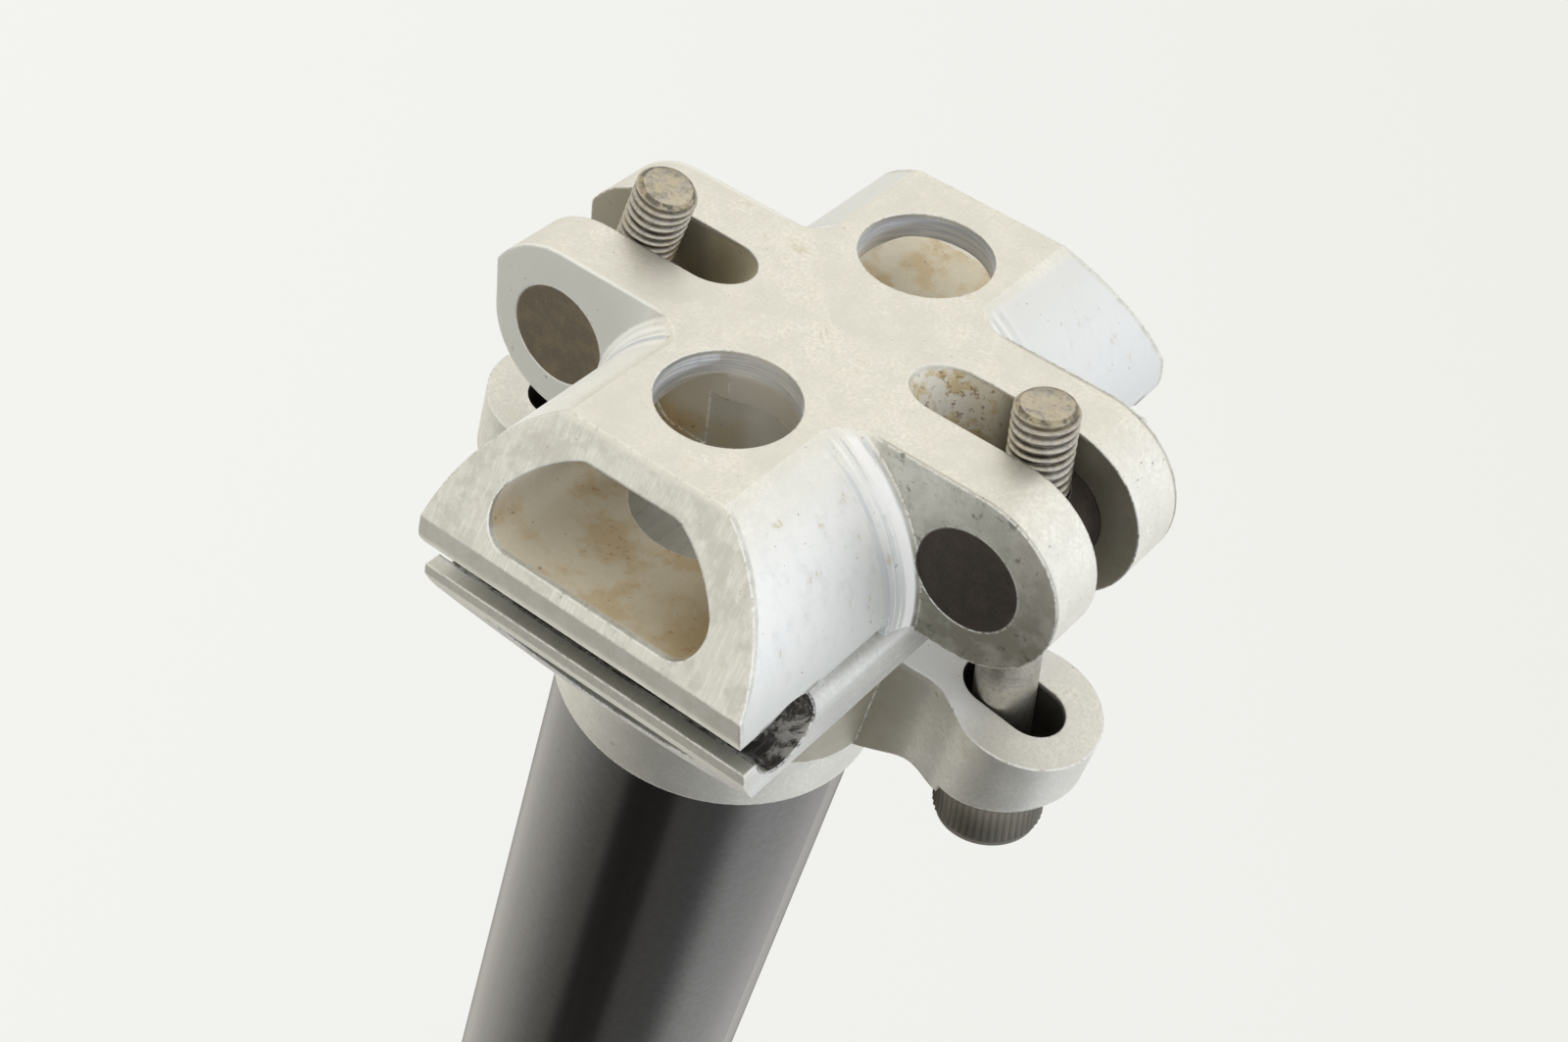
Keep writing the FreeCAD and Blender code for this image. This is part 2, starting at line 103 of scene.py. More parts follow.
# %% A socket that can be added and multiplied
class Wire:
    def __init__(self, finish, socket):
        self.finish = finish
        self.socket = socket

    def _math(self, operation, *values, clamp=False):
        return self.finish.node("ShaderNodeMath", {"operation": operation, "use_clamp": clamp},
                                dict(enumerate(values)))

    def __add__(self, other):
        return self._math("ADD", self, other)

    def __radd__(self, other):
        return self._math("ADD", other, self)

    def __sub__(self, other):
        return self._math("SUBTRACT", self, other)

    def __rsub__(self, other):
        return self._math("SUBTRACT", other, self)

    def __mul__(self, other):
        return self._math("MULTIPLY", self, other)

    def __rmul__(self, other):
        return self._math("MULTIPLY", other, self)

    def __truediv__(self, other):
        return self._math("DIVIDE", self, other)

    def __rtruediv__(self, other):
        return self._math("DIVIDE", other, self)

    def at_least(self, other):
        return self._math("MAXIMUM", self, other)

    def abs(self):
        return self._math("ABSOLUTE", self)

    def root(self):
        return self._math("SQRT", self)

    def clamped(self):
        return self._math("ADD", self, 0, clamp=True)

    def step(self, low, high):
        """0 below low, 1 above high and a smooth ramp between; low may be the larger."""
        return self.finish.node("ShaderNodeMapRange", {"interpolation_type": "SMOOTHSTEP"},
                                {"Value": self, "From Min": low, "From Max": high})

    def between(self, low, high, soft=0.12):
        return self.step(low - soft, low + soft) * self.step(high + soft, high - soft)


def distance(one_way, other_way):
    return (one_way * one_way + other_way * other_way).root()


print("a wire can be", ", ".join(name for name in vars(Wire) if not name.startswith("_")))

# %% [markdown]
# ## One builder for every finish
#
# Every finish, the floor's and the room's too, is a tree of nodes. `Finish` owns such a tree. Its
# `node` method makes any node from its type, its settings and what goes into its sockets, so a
# node takes one line. The other methods are short names for the nodes used most.

# %% The finish builder
class Finish:
    def __init__(self, tree):
        self.tree = tree
        self.tree.nodes.clear()

    def node(self, kind, settings=None, inputs=None, out=0):
        made = self.tree.nodes.new(kind)
        for name, value in (settings or {}).items():
            setattr(made, name, value)
        for name, value in (inputs or {}).items():
            self.feed(made.inputs[name], value)
        return Wire(self, made.outputs[out])

    def feed(self, socket, value):
        if isinstance(value, Wire):
            self.tree.links.new(value.socket, socket)
        elif socket.type == "RGBA" and len(value) == 3:
            socket.default_value = (*value, 1)
        else:
            socket.default_value = value

    def noise(self, where, scale, detail=3, rough=0.55, warp=0.0):
        return self.node("ShaderNodeTexNoise", None,
                         {"Vector": where, "Scale": scale, "Detail": detail, "Roughness": rough,
                          "Distortion": warp})

    def mapped(self, where, sizes=(1, 1, 1), turn=(0, 0, 0), shift=(0, 0, 0)):
        return self.node("ShaderNodeMapping", None,
                         {"Vector": where, "Scale": sizes, "Rotation": turn, "Location": shift})

    def mix(self, amount, low, high):
        """Colour low where the amount is 0, colour high where it is 1."""
        return self.node("ShaderNodeMix", {"data_type": "RGBA"},
                         {"Factor": amount, 6: low, 7: high}, out=2)

    def vector(self, operation, one, other=None, out="Vector"):
        inputs = {0: one} if other is None else {0: one, 1: other}
        return self.node("ShaderNodeVectorMath", {"operation": operation}, inputs, out)

    def bump(self, strength, depth, height, normal=None):
        inputs = {"Strength": strength, "Distance": depth * MM, "Height": height}
        if normal:
            inputs["Normal"] = normal
        return self.node("ShaderNodeBump", None, inputs)

    def split(self, vector):
        parts = self.node("ShaderNodeSeparateXYZ", None, {"Vector": vector})
        return [Wire(self, socket) for socket in parts.socket.node.outputs]

    def end(self, shader, kind="ShaderNodeOutputMaterial"):
        output = self.tree.nodes.new(kind)
        self.tree.links.new(shader.socket, output.inputs["Surface"])


print("a finish can be", ", ".join(name for name in vars(Finish) if not name.startswith("_")))

# %% [markdown]
# ## Starting and ending a finish
#
# On the real post a finish is what is left on the metal at the end. Here it starts as an empty
# material and ends in one Principled shader, which can stand for metal, dirt and anodising alike.
# A shader for each of them would have to be mixed again wherever they meet.

# %% Starting and ending a finish
def new_finish(name):
    material = bpy.data.materials.new(name)
    material.use_nodes = True
    return material, Finish(material.node_tree)


def principled(f, colour, metallic, roughness, normal):
    f.end(f.node("ShaderNodeBsdfPrincipled", None,
                 {"Base Color": colour, "Metallic": metallic, "Roughness": roughness,
                  "Normal": normal}))


def dress(material, *names):
    for name in names:
        solids[name].data.materials.clear()
        solids[name].data.materials.append(material)
    print(material.name, "on", ", ".join(names))


print("waiting for a finish:", len(solids), "solids")

# %% [markdown]
# ## Places inside a finish
#
# A mark needs to know where on the piece it is. `in_mm` gives each point in millimetres from the
# tilt axis, in the head's axes or in the clamp's. Turning the solids upright first would do it
# too, but here only the drawing turns and the solids stay where they are.

# %% A piece's own axes
def in_mm(f, tilt=0.0):
    turned = Matrix.Rotation(tilt, 3, "Y") @ PIVOT
    return f.mapped(f.node("ShaderNodeTexCoord", out="Object"), (1 / MM, 1 / MM, 1 / MM),
                    (0, tilt, 0), -turned)


print("marks are measured from", tuple(PIVOT), "mm")

# %% [markdown]
# ## Edges and scratches
#
# Handling rubs edges bright and draws thin hairs across the faces. A real chamfer on every edge
# would cost many faces. The Bevel node rounds only the normal, and where that leaves the flat
# normal there is an edge. A hair is noise stretched far along one direction.

# %% Edge mask and hairs
EDGE_START, EDGE_FULL = 0.004, 0.06       # how far the rounded normal has left the flat one
HAIR_STRETCH = 0.03                       # a hair is about thirty times as long as it is wide


def edge_mask(f, radius):
    """The rounded normal, and 1 where the surface turns a corner."""
    rounded = f.node("ShaderNodeBevel", {"samples": 4}, {"Radius": radius * MM})
    flat = f.node("ShaderNodeNewGeometry", out="Normal")
    alike = f.vector("DOT_PRODUCT", rounded, flat, "Value")
    return rounded, (1 - alike).step(EDGE_START, EDGE_FULL)


def hairs(f, at, turn, density=2.2):
    """Thin straight scratches, all in about one direction."""
    along = density * HAIR_STRETCH
    return f.noise(f.mapped(at, (density, along, along), turn), 1.0, detail=2).step(0.66, 0.74)


print("a scratch is about", round(1 / HAIR_STRETCH), "times as long as it is wide")

# %% [markdown]
# ## Worn aluminium
#
# The silver pieces were machined, then tumbled to a satin face. Years of use add a fine grain,
# light scratches, tan stains, dark specks and rubbed edges. A photograph of worn metal could be
# laid on, but it would need unwrapping and go soft close up. Noise at several scales stays sharp.
# The same cell serves all three pieces, and each piece adds its own marks in the middle.

# %% The silver finish
TAN_STAIN, DARK_SPECK = (0.52, 0.41, 0.24), (0.22, 0.17, 0.10)
SCRATCHED, RUBBED, EDGE_DIRT = (0.95, 0.94, 0.91), (1.0, 1.0, 0.985), (0.30, 0.27, 0.20)
EDGE_R = 0.25


def satin(f, at, tone):
    """The clean metal: a cloudy tone with a fine grain."""
    light, dull = [min(1, c * 1.05) for c in tone], [c * 0.90 for c in tone]
    cloud = f.noise(at, 0.12, detail=4)
    grain = f.noise(at, 3.2, detail=4, rough=0.7)
    colour = f.mix(cloud.step(0.3, 0.7), dull, light)
    return f.mix(grain.step(0.36, 0.66), [c * 0.87 for c in tone], colour), cloud, grain


def worn_aluminium(name, tone, roughness, stain, marks, tilt=0.0):
    material, f = new_finish(name)
    at = in_mm(f, tilt)
    rounded, edge = edge_mask(f, EDGE_R)
    colour, cloud, grain = satin(f, at, tone)
    patch = f.noise(at, 0.30, detail=6, rough=0.7)
    brown = patch.step(0.54, 0.76) * f.noise(at, 0.11, detail=2).step(0.45, 0.62) * stain
    hair = (hairs(f, at, (0.2, 0.1, 0.5)) + hairs(f, at, (1.1, 0.4, -0.6), 1.8)).clamped()
    hair = hair * cloud.step(0.45, 0.6)
    colour = f.mix(patch.step(0.58, 0.42) * 0.4, colour, [c * 0.80 for c in tone])
    colour = f.mix(brown, colour, TAN_STAIN)
    colour = f.mix(hair * 0.25, colour, SCRATCHED)
    rough = roughness + cloud * 0.1 + brown * 0.25 - hair * 0.05
    colour, rough = marks(f, at, colour, rough)
    speck = f.noise(at, 1.9).step(0.70, 0.75)
    colour = f.mix(speck * 0.55, colour, DARK_SPECK)
    nicks = f.noise(at, 1.7, detail=4, rough=0.75)
    rubbed = edge * nicks.step(0.42, 0.50)
    colour = f.mix(rubbed * 0.95, colour, RUBBED)
    colour = f.mix(edge * nicks.step(0.42, 0.36) * 0.6, colour, EDGE_DIRT)
    bump = f.bump(0.25, 0.05, grain + hair * 0.4, rounded)
    principled(f, colour, 1.0, rough - rubbed * 0.12, bump)
    return material


print("edges look rounded by", EDGE_R, "mm")

# %% [markdown]
# ## Finding places on the clamp
#
# The clamp's marks are fenced in by a few distances: inward from a sloped end, out from the bar's
# axis, and out from the nearer round hole. Each mark could work them out for itself. In one bundle
# they are written once, with three noises that several marks share, and the left and right halves
# of the clamp use the same ones.

# %% Distances on the clamp
def clamp_places(f, at):
    x, y, z = f.split(at)
    side_y = y.abs()
    return SimpleNamespace(
        x=x, y=y, z=z, side_x=x.abs(), side_y=side_y, rear_half=x.step(-1, 1),
        inward=TOP_HALF_LENGTH - z.at_least(LIP_TOP_Z) * END_TAN - side_y,
        from_axis=distance(x, z - BAR_Z), from_hole=distance(x, side_y - HOLE_Y),
        below_top=z.step(-0.1, -0.7), blot=f.noise(at, 0.5, detail=5, rough=0.65),
        soft=f.noise(at, 0.27, detail=6, rough=0.62), fine=f.noise(at, 1.9, detail=4, rough=0.7))


print("lip under a sloped end:", round(TOP_HALF_LENGTH - LIP_TOP_Z * END_TAN, 1), "mm out")

# %% [markdown]
# ## The bar's flanks
#
# The round sides of the bar are painted paler than the top as painted light, and greyer low down
# and on the far arm as painted shade. They still show where the cutter went in next to the lugs.
# Modelled cuts would be too fine to see as shapes, so bands of noise that run along the bar draw
# them, brightest at the cut, where the brightness is partly a painted sheen, and bluish in between.

# %% Marks of the flanks
# Flank tones: the pale one is painted light, and the low and far greys are painted shade.
FLANK_PAINTED_LIGHT, FAINT_GREY, FLANK_PAINTED_SHADE = (0.98, 0.99, 0.99), (0.76, 0.785, 0.79), (0.68, 0.70, 0.675)
FAR_ARM_PAINTED_SHADE, TAN_TRACE = (0.80, 0.815, 0.81), (0.70, 0.60, 0.38)
# The bright cut tone is cutter marks with a painted sheen.
CUT_BLUE, CUT_MARK_SHEEN = (0.60, 0.64, 0.71), (1.0, 1.0, 1.0)
CUT_END_Y = 12.4                          # how far out the cutter went


def flank_marks(f, at, spot, colour, rough):
    z = spot.z
    flank = (spot.below_top * spot.from_axis.step(SKIN_R - 0.3, SKIN_R + 0.3)
             * spot.side_y.step(LUG_SIDE_Y + 0.05, LUG_SIDE_Y + 0.3) * spot.inward.step(0.2, 0.6))
    clean = flank * z.step(-0.3, -4.0)
    drift = f.noise(f.mapped(at, (0.9, 0.9, 0.45)), 1.0, detail=5, rough=0.7)
    # painted light: the flanks are whitened, most below their top edge
    colour = f.mix(flank * 0.4 + clean * 0.55, colour, FLANK_PAINTED_LIGHT)
    colour = f.mix(clean * drift.step(0.45, 0.66) * 0.28, colour, FAINT_GREY)
    # painted shade: the flanks grey towards their bottom
    colour = f.mix(clean * z.step(-4.5, -13.5) * 0.75, colour, FLANK_PAINTED_SHADE)
    # painted shade: the flank of the far arm is greyer
    colour = f.mix(flank * spot.y.step(8, 10) * 0.7, colour, FAR_ARM_PAINTED_SHADE)
    colour = f.mix(flank * drift.step(0.63, 0.68) * 0.5, colour, TAN_TRACE)
    milled = flank * spot.side_y.step(CUT_END_Y, LUG_SIDE_Y + 1.0)
    cuts = f.noise(f.mapped(at, (0.03, 1.5, 0.03)), 1.0, detail=4, rough=0.7)
    colour = f.mix(milled * cuts.step(0.47, 0.40) * 0.55, colour, CUT_BLUE)
    # bright cutter bands: real marks with a painted sheen
    colour = f.mix(milled * cuts.step(0.50, 0.56) * 0.8, colour, CUT_MARK_SHEEN)
    return colour, rough + flank * 0.22 + milled * 0.14


print("cutter marks reach", round(CUT_END_Y - LUG_SIDE_Y, 1), "mm from the lugs")

# %% [markdown]
# ## The sloped ends and the lip
#
# The ends were brushed across and are painted grey as painted shade, and the narrow lip below them
# is a little warmer. A plain grey would look moulded, so stretched noise lays the brush strokes
# over it and a rounder noise adds dull blots.

# %% Marks of the ends
# The end grey is painted shade; the brushed and blot tones are the metal's own.
END_PAINTED_SHADE, BRUSHED, DULL_BLOT = (0.68, 0.685, 0.64), (0.95, 0.95, 0.93), (0.54, 0.54, 0.49)
LIP_DULL, LIP_LIGHT = (0.78, 0.78, 0.70), (0.90, 0.90, 0.84)
LIP_INNER_R = 15.0                        # from the bar's axis; the bar's surface is just outside


def end_marks(f, at, spot, colour, rough):
    on_end = spot.below_top * spot.inward.step(0.6, 0.3)
    brush = f.noise(f.mapped(at, (4.5, 0.4, 0.4), (0, 0.6, 0)), 1.0, detail=4, rough=0.75)
    # painted shade: the sloped ends are greyed
    colour = f.mix(on_end * 0.7, colour, END_PAINTED_SHADE)
    colour = f.mix(on_end * brush.step(0.46, 0.66) * 0.45, colour, BRUSHED)
    colour = f.mix(on_end * spot.blot.step(0.46, 0.60) * 0.45, colour, DULL_BLOT)
    lip = (spot.inward.step(3.0, 2.6) * spot.z.step(LIP_TOP_Z + 0.1, LIP_TOP_Z - 0.2)
           * spot.from_axis.step(LIP_INNER_R + 0.05, LIP_INNER_R - 0.1))
    colour = f.mix(lip * 0.75, colour, f.mix(spot.blot.step(0.4, 0.6), LIP_DULL, LIP_LIGHT))
    return colour, rough


print("the lip starts", -LIP_TOP_Z, "mm below the flat top")

# %% [markdown]
# ## The lugs and the rail grooves
#
# The side of the rear lug is darkened with painted shade and dark reflection, while the front
# lug's side is left light. One even dark would look flat, so the painted shade thins towards the
# top, and tar spots lie over it. The grooves for the rails are dark all along.

# %% Marks of the lugs
# The first lug tone is painted shade and dark reflection; tar and groove dirt are real dirt.
LUG_PAINTED_SHADE, CLEAN_LUG, TAR, GROOVE_DIRT = ((0.31, 0.30, 0.25), (0.93, 0.95, 0.92), (0.10, 0.095, 0.08),
                                      (0.22, 0.21, 0.19))
LUG_INNER_X = 9.6                         # where a lug leaves the bar
JAW_Z = -13.0                             # the clamp's rail grooves lie below here
GROOVE_HALF = 3.4                         # half the width that is stained


def lug_marks(f, at, spot, colour, rough):
    on_lug = (spot.side_y.between(LUG_SIDE_Y - 0.3, LUG_SIDE_Y + 0.25)
              * spot.side_x.step(LUG_INNER_X, LUG_INNER_X + 1.4))
    # painted shade and dark reflection on the rear lug's side, darkest low down
    lug_shade = on_lug * spot.rear_half * (0.50 + spot.z.step(-1.0, -12.0) * 0.5)
    colour = f.mix(lug_shade * (0.78 + spot.blot.step(0.36, 0.62) * 0.30), colour, LUG_PAINTED_SHADE)
    colour = f.mix(on_lug * (1 - spot.rear_half) * 0.8, colour, CLEAN_LUG)
    tar = on_lug * spot.rear_half * f.noise(at, 0.9, detail=4, rough=0.7).step(0.58, 0.68)
    colour = f.mix(tar * 0.55, colour, TAR)
    groove = (spot.z.step(JAW_Z + 0.4, JAW_Z - 0.4)
              * spot.side_y.between(RAIL_Y - GROOVE_HALF, RAIL_Y + GROOVE_HALF, 0.3))
    colour = f.mix(groove * 0.8, colour, GROOVE_DIRT)
    return colour, rough + lug_shade * 0.1


print("rail grooves are dark over", 2 * GROOVE_HALF, "mm")

# %% [markdown]
# ## The round holes and the pockets
#
# The walls of the two round holes show the rings of the drill. Below them the pockets stay pale
# near the roof and gather sand-coloured dust on the floor, thickest far inside and along one side.
# Loose grains could be scattered as pieces, but they would be too small to see one by one, so the
# dust is a stain with a few darker crumbs.

# %% Marks of the holes and pockets
RING_BLUE, RING_BRIGHT = (0.66, 0.70, 0.78), (0.98, 0.98, 1.0)
POCKET_PALE, FLOOR_SAND, DEEP_TAN = (0.97, 0.975, 0.985), (0.72, 0.66, 0.52), (0.50, 0.465, 0.375)
DUST, BROWN_SIDE, CRUMB = (0.64, 0.49, 0.27), (0.46, 0.37, 0.22), (0.40, 0.22, 0.09)
POCKET_BACK_Y = 6.0                       # just beyond the pockets' inner ends


def hole_marks(f, at, spot, colour, rough):
    wall = (spot.from_hole.step(HOLE_R + 0.2, HOLE_R + 0.1)
            * spot.z.between(POCKET_ROOF, -0.25, 0.15))
    rings = f.noise(f.mapped(at, (0.15, 0.15, 4.0)), 1.0).step(0.40, 0.62)
    return f.mix(wall * 0.7, colour, f.mix(rings, RING_BLUE, RING_BRIGHT)), rough + wall * 0.1


def pocket_marks(f, at, spot, colour, rough):
    soft = spot.soft
    pocket = (spot.from_axis.step(SKIN_R - 0.6, SKIN_R - 0.8)
              * spot.side_y.step(POCKET_BACK_Y - 0.5, POCKET_BACK_Y + 0.5)
              * spot.inward.step(0.35, 0.7)
              * spot.z.between(POCKET_FLOOR - 0.3, POCKET_ROOF - 0.2, 0.2))
    low = spot.z.step(POCKET_FLOOR + 3.5, POCKET_FLOOR + 0.3)
    colour = f.mix(pocket * (1 - low) * 0.8, colour, POCKET_PALE)
    colour = f.mix(pocket * low * 0.7, colour, FLOOR_SAND)
    colour = f.mix(pocket * spot.side_y.step(15.0, 11.0) * 0.6, colour, DEEP_TAN)
    colour = f.mix(pocket * low * soft.step(0.44, 0.60) * 0.55, colour, DUST)
    colour = f.mix(pocket * spot.x.step(0.0, 8.5) * (0.30 + soft * 0.6), colour, BROWN_SIDE)
    crumbs = pocket * low * spot.fine.step(0.58, 0.66) * soft.step(0.48, 0.60)
    colour = f.mix(crumbs * 0.6, colour, CRUMB)
    return colour, rough + pocket * 0.2


print("pockets are", round(POCKET_ROOF - POCKET_FLOOR, 1), "mm high")

# %% [markdown]
# ## The bolt slots
#
# Each bolt comes up through a slot whose inner end is a milled ramp. The ramp of the rear slot
# catches the light and has ochre blooms and rust specks; the rest of each slot is darkened with
# painted shade, more in the rear one. The ramp could be a piece with its own finish, but it is one
# with the clamp, so a mask along the slot tells the two apart.

# %% Marks of the slots
# The slot tones are painted shade, darker in the rear slot.
SLOT_SHADE_FRONT, SLOT_SHADE_REAR = (0.46, 0.43, 0.34), (0.27, 0.245, 0.185)
RAMP_FRONT, RAMP_REAR = (0.66, 0.60, 0.42), (0.97, 0.95, 0.88)
OCHRE, RUST = (0.72, 0.57, 0.28), (0.38, 0.24, 0.10)
RAMP_START_X, RAMP_END_X = 12.5, 15.0     # the ramp fades into the slot between these


def slot_marks(f, at, spot, colour, rough):
    rear_half = spot.rear_half
    in_slot = (spot.side_y.step(SLOT_HALF + 0.12, SLOT_HALF)
               * spot.side_x.step(SLOT_END_X, SLOT_END_X + 0.2) * spot.z.step(-0.1, -0.5))
    ramp = in_slot * spot.side_x.step(RAMP_END_X, RAMP_START_X)
    # painted shade inside the slots, apart from the ramps
    dirt = f.mix(rear_half, SLOT_SHADE_FRONT, SLOT_SHADE_REAR)
    colour = f.mix(in_slot * (1 - ramp) * (0.65 + spot.soft * 0.3), colour, dirt)
    colour = f.mix(ramp * 0.8, colour, f.mix(rear_half, RAMP_FRONT, RAMP_REAR))
    bloom = ramp * rear_half * f.noise(at, 0.55, detail=5, rough=0.6).step(0.47, 0.60)
    colour = f.mix(bloom * 0.7, colour, OCHRE)
    colour = f.mix(ramp * rear_half * spot.fine.step(0.56, 0.62) * 0.7, colour, RUST)
    return colour, rough + in_slot * 0.12


print("slots are", 2 * SLOT_HALF, "mm wide")

# %% [markdown]
# ## All the clamp's marks
#
# The marks lie over each other like washes of paint, so their order counts: the outside first,
# then the hollows, whose stains may run over an edge.

# %% The upper clamp
def clamp_marks(f, at, colour, rough):
    spot = clamp_places(f, at)
    for marks in (flank_marks, end_marks, lug_marks, hole_marks, pocket_marks, slot_marks):
        colour, rough = marks(f, at, spot, colour, rough)
    return colour, rough


dress(worn_aluminium("clamp_aluminium", tone=(0.93, 0.915, 0.845), roughness=0.42, stain=0.55,
                     marks=clamp_marks, tilt=TILT), "upper_clamp")

# %% [markdown]
# ## The lower cradle
#
# The half grooves for the rails are grey, with black dirt in ragged patches, and faint drawn lines
# run along the piece. A single dark band would look like paint, so a warped noise eats holes in
# the black.

# %% Marks of the lower cradle
GROOVE_GREY, TORN_BLACK, END_SAND = (0.55, 0.54, 0.50), (0.055, 0.05, 0.045), (0.70, 0.68, 0.58)
# The underside brown is painted shade, laid in blots.
UNDER_PAINTED_SHADE, DRAWN_GREY = (0.36, 0.33, 0.26), (0.55, 0.56, 0.57)
GROOVE_R = 3.75                           # of the half groove, with a little of its rim
CRADLE_END_Y, CRADLE_BELLY_Z = 25.6, -20.0


def cradle_marks(f, at, colour, rough):
    _, y, z = f.split(at)
    side_y = y.abs()
    blot = f.noise(at, 0.42, detail=6, rough=0.75, warp=0.5)
    groove = distance(side_y - RAIL_Y, z - RAIL_Z).step(GROOVE_R, GROOVE_R - 0.15)
    colour = f.mix(groove * 0.6, colour, GROOVE_GREY)
    colour = f.mix(groove * blot.step(0.58, 0.47) * 0.9, colour, TORN_BLACK)
    colour = f.mix(side_y.step(CRADLE_END_Y, CRADLE_END_Y + 0.8) * 0.5, colour, END_SAND)
    # painted shade under the cradle, in blots
    under = z.step(CRADLE_BELLY_Z + 1.5, CRADLE_BELLY_Z - 1.5)
    colour = f.mix(under * blot.step(0.35, 0.6) * 0.35, colour, UNDER_PAINTED_SHADE)
    drawn = f.noise(f.mapped(at, (2.4, 0.05, 2.4)), 1.0).step(0.45, 0.7)
    colour = f.mix(drawn * 0.35, colour, DRAWN_GREY)
    return colour, rough + groove * 0.15 + under * 0.1


dress(worn_aluminium("cradle_aluminium", tone=(0.84, 0.845, 0.82), roughness=0.46, stain=0.30,
                     marks=cradle_marks, tilt=TILT), "lower_cradle")

# %% [markdown]
# ## The head
#
# The head stands upright, so its marks use the head's own axes. Its side walls are darkened brown
# with painted shade and dark reflection, and scratched; the hollow between collar and rear ear is
# whitened with painted light, and the bolt slots in the ears are painted black inside as painted
# shade. Sizes alone would need a fence round every wall, so walls and hollow are told apart first
# by the way their surface faces, and then by where they are.

# %% Marks of the head
# The wall tone is painted shade and dark reflection, the hollow's white is painted light, and the
# slot black is painted shade.
WALL_PAINTED_SHADE, HOLLOW_PAINTED_LIGHT, EAR_SLOT_SHADE = (0.42, 0.39, 0.31), (1.0, 1.0, 1.0), (0.16, 0.145, 0.12)
WALL_SCRATCH = (0.95, 0.93, 0.86)
WALL_FOOT_Z, WALL_TOP_Z = -34.8, -21.5    # the walls between collar and ears
REAR_EAR_TOP, FRONT_EAR_TOP = -20.9, -26.0
REAR_SLOT_X, FRONT_SLOT_X = (20.3, 29.6), (-25.0, -15.1)
EAR_SLOT_HALF = 2.8                       # a little over half the slot's width


def head_marks(f, at, colour, rough):
    x, y, z = f.split(at)
    side_x = x.abs()
    faces_up = f.split(f.node("ShaderNodeTexCoord", out="Normal"))[2]
    blot = f.noise(at, 0.40, detail=5, rough=0.65)
    wall = (faces_up.abs().step(0.5, 0.25) * side_x.step(7.0, 12.0) * side_x.step(21.5, 17.5)
            * z.between(WALL_FOOT_Z, WALL_TOP_Z, 0.5))
    # painted shade and dark reflection on the side walls
    colour = f.mix(wall * (0.50 + blot * 0.5), colour, WALL_PAINTED_SHADE)
    hollow = faces_up.step(0.15, 0.6) * x.step(8.0, 11.0) * x.step(27.0, 22.0)
    # painted light in the hollow between collar and rear ear
    colour = f.mix(hollow * 0.85, colour, HOLLOW_PAINTED_LIGHT)
    rear_slot = x.between(*REAR_SLOT_X) * z.step(REAR_EAR_TOP - 0.25, REAR_EAR_TOP - 0.6)
    front_slot = x.between(*FRONT_SLOT_X) * z.step(FRONT_EAR_TOP - 0.25, FRONT_EAR_TOP - 0.6)
    in_slot = y.abs().step(EAR_SLOT_HALF, EAR_SLOT_HALF - 0.1) * (rear_slot + front_slot).clamped()
    # painted shade inside the ear slots
    colour = f.mix(in_slot * 0.8, colour, EAR_SLOT_SHADE)
    scratch = hairs(f, at, (0.4, 0.9, 0.2), 1.2) * wall
    colour = f.mix(scratch * 0.5, colour, WALL_SCRATCH)
    return colour, rough + wall * 0.08 + hollow * 0.35


dress(worn_aluminium("head_aluminium", tone=(0.86, 0.855, 0.80), roughness=0.42, stain=0.40,
                     marks=head_marks), "head")

# %% [markdown]
# ## Turning on a lathe
#
# The real bolts are turned and rolled, and the solids leave them plain. A screw modifier would cut
# a thread, but not one that fades out or wears. Here each bolt is built as a lathe would: a row of
# rings from the tip to the head, where a ring's radius may change round the ring. That one idea
# gives the thread's helix, the knurled head and the hexagon socket.

# %% Lathe
SEGMENTS = 96


def lathe_faces(ring_count):
    """Sides between the rings, and a fan at each end; the first and last point are the middles."""
    faces, last = [], 1 + (ring_count - 1) * SEGMENTS
    for i in range(SEGMENTS):
        j = (i + 1) % SEGMENTS
        faces.append((0, 1 + j, 1 + i))
        for low in range(1, last, SEGMENTS):
            high = low + SEGMENTS
            faces.append((low + i, low + j, high + j, high + i))
        faces.append((last + i, last + j, last + SEGMENTS))
    return faces


def lathe(name, rings, centre, axis):
    """Closed piece from rings of (distance along the axis, radius for an angle)."""
    across = axis.cross(Vector((0, 1, 0))).normalized()
    over = axis.cross(across)
    angles = [2 * math.pi * i / SEGMENTS for i in range(SEGMENTS)]
    points = [centre + axis * rings[0][0]]
    for along, radius in rings:
        points += [centre + axis * along + (across * math.cos(a) + over * math.sin(a)) * radius(a)
                   for a in angles]
    points.append(centre + axis * rings[-1][0])
    mesh = bpy.data.meshes.new(name)
    mesh.from_pydata([p * MM for p in points], [], lathe_faces(len(rings)))
    mesh.update()
    return bpy.data.objects.new(name, mesh)


print("a ring has", SEGMENTS, "points")

# %% [markdown]
# ## The thread
#
# M5 with a pitch of 0.8 mm. A used thread has rounded crests whose height wanders a little, and it
# runs out into the plain shank. A profile swept along a helix would need joining to the shank; a
# cosine of the angle and the distance gives both in one skin.

# %% Thread rings
BOLT_R, PITCH, THREAD_DEPTH, THREAD_LENGTH = 2.5, 0.8, 0.46, 15.0
RINGS_PER_TURN, RUN_OUT_TURNS = 12, 2


